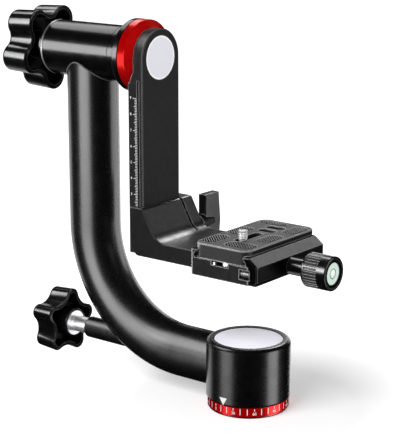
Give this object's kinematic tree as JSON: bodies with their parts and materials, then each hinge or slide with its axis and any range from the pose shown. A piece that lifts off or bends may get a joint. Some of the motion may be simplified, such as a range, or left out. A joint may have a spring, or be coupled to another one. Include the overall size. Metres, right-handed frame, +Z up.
{
  "type": "gimbal tripod head",
  "caption": "Gimbal head for a tripod: a panning J-shaped arm carries a swinging rail with a height-adjustable quick-release clamp, so a long lens balances and turns freely.",
  "frame": {"origin": "on the pan axis, in the seat that rests on the tripod's head", "axes": "+Z up along the pan axis, +X along the tilt axis from the arm to the rail and clamp, +Y along the quick-release channel"},
  "size_m": [0.2387, 0.081, 0.2344],
  "materials": {
    "black_arm": "satin gloss black coat",
    "black_housing": "satin black coat",
    "black_rail": "black anodised",
    "black_cast": "black anodised over a fine blasted grain",
    "red_anodised": "glossy red anodised",
    "silver_disc": "brushed and clear coated",
    "steel": "turned steel",
    "bright_steel": "polished",
    "brass": "turned brass",
    "black_knob": "glossy black",
    "grey_plate": "grey anodised, blasted",
    "pad_rubber": "ribbed rubber",
    "bezel": "matt black",
    "level_glass": "clear over pale green liquid",
    "shoe_plastic": "natural nylon"
  },
  "bodies": {
    "base": {"pan_base": "black_housing", "degree_ring": "red_anodised", "pan_spindle": "steel", "base_screws": "steel", "pan_inner_races": "bright_steel", "pan_nut": "steel"},
    "pan_head": {"pan_housing": "black_housing", "pan_cap_disc": "silver_disc", "pan_outer_races": "bright_steel", "pan_bearing_balls": "bright_steel", "arm_tube": "black_arm", "arm_spigot": "steel", "spigot_screws": "steel", "pan_lock_boss": "black_arm", "pan_lock_insert": "brass", "tilt_barrel": "black_arm", "barrel_end_ring": "bright_steel", "bearing_cap": "black_arm", "tilt_flange": "black_arm", "tilt_outer_races": "bright_steel", "tilt_bearing_balls": "bright_steel"},
    "pan_shoe": {"pan_lock_shoe": "shoe_plastic"},
    "pan_lock": {"pan_lock_knob": "black_knob", "pan_lock_washer": "steel", "pan_lock_rod": "steel"},
    "swing": {"tilt_spindle": "steel", "tilt_circlip": "steel", "tilt_inner_races": "bright_steel", "tilt_ring": "red_anodised", "swing_rail": "black_rail", "rail_head_screws": "steel", "rail_cap_disc": "silver_disc", "rail_stop_screw": "steel"},
    "tilt_washer": {"tilt_lock_washer": "bright_steel"},
    "tilt_lock": {"tilt_lock_knob": "black_knob", "tilt_lock_stud": "steel"},
    "carriage": {"carriage_bracket": "black_cast", "jaw_guide_pins": "steel", "clamp_base": "black_cast", "clamp_screws": "steel", "clamp_guide_pins": "bright_steel", "clamp_springs": "bright_steel", "catch_pins": "bright_steel"},
    "carriage_grip": {"carriage_jaw": "black_cast"},
    "wing": {"wing_knob": "black_cast", "wing_stud": "steel"},
    "clamp_grip": {"clamp_jaw": "black_cast"},
    "clamp_knob": {"clamp_knob": "black_cast", "clamp_stud": "steel", "level_bezel": "bezel", "bubble_level": "level_glass"},
    "plate": {"quick_release_plate": "grey_plate", "rubber_pads": "pad_rubber", "stop_screws": "bright_steel"},
    "screw_carrier": {"screw_washer": "steel"},
    "camera_screw": {"camera_screw": "bright_steel"}
  },
  "joints": [
    {"name": "pan_turn", "type": "hinge", "parent": "base", "child": "pan_head", "pos_m": [0, 0, 0.0252], "axis": [0, 0, 1], "continuous": true},
    {"name": "pan_shoe_slide", "type": "slide", "parent": "pan_head", "child": "pan_shoe", "axis": [-1, 0, 0], "range_m": [0, 0.0018]},
    {"name": "pan_lock_turn", "type": "hinge", "parent": "pan_shoe", "child": "pan_lock", "pos_m": [-0.146, 0, 0.0243], "axis": [-1, 0, 0], "range_deg": [0, 540]},
    {"name": "tilt_swing", "type": "hinge", "parent": "pan_head", "child": "swing", "pos_m": [-0.0844, 0, 0.2091], "axis": [1, 0, 0], "continuous": true},
    {"name": "tilt_washer_slide", "type": "slide", "parent": "swing", "child": "tilt_washer", "axis": [-1, 0, 0], "range_m": [0, 0.0018]},
    {"name": "tilt_lock_turn", "type": "hinge", "parent": "tilt_washer", "child": "tilt_lock", "pos_m": [-0.155, 0, 0.2091], "axis": [-1, 0, 0], "range_deg": [0, 540]},
    {"name": "carriage_slide", "type": "slide", "parent": "swing", "child": "carriage", "axis": [0, 0, 1], "range_m": [0, 0.065]},
    {"name": "carriage_jaw_slide", "type": "slide", "parent": "carriage", "child": "carriage_grip", "axis": [0, 1, 0], "range_m": [0, 0.00115]},
    {"name": "wing_turn", "type": "hinge", "parent": "carriage_grip", "child": "wing", "pos_m": [-0.062, 0.04, 0.1], "axis": [0, 1, 0], "range_deg": [0, 540]},
    {"name": "clamp_jaw_slide", "type": "slide", "parent": "carriage", "child": "clamp_grip", "axis": [1, 0, 0], "range_m": [0, 0.0029]},
    {"name": "clamp_knob_turn", "type": "hinge", "parent": "clamp_grip", "child": "clamp_knob", "pos_m": [0.05, 0.003, 0.0934], "axis": [1, 0, 0], "range_deg": [0, 1080]},
    {"name": "plate_slide", "type": "slide", "parent": "carriage", "child": "plate", "axis": [0, 1, 0], "range_m": [-0.06, 0.06]},
    {"name": "screw_slide", "type": "slide", "parent": "plate", "child": "screw_carrier", "axis": [0, 1, 0], "range_m": [-0.0027, 0.0157]},
    {"name": "camera_screw_turn", "type": "hinge", "parent": "screw_carrier", "child": "camera_screw", "pos_m": [0.00145, -0.009, 0.105], "axis": [0, 0, 1], "continuous": true}
  ],
  "couplings": [
    {"joint": "pan_lock_turn", "follows": "pan_shoe_slide", "rad_per_m": 5026.5},
    {"joint": "tilt_lock_turn", "follows": "tilt_washer_slide", "rad_per_m": 5026.5},
    {"joint": "wing_turn", "follows": "carriage_jaw_slide", "rad_per_m": 7854},
    {"joint": "clamp_knob_turn", "follows": "clamp_jaw_slide", "rad_per_m": 6283.2}
  ]
}
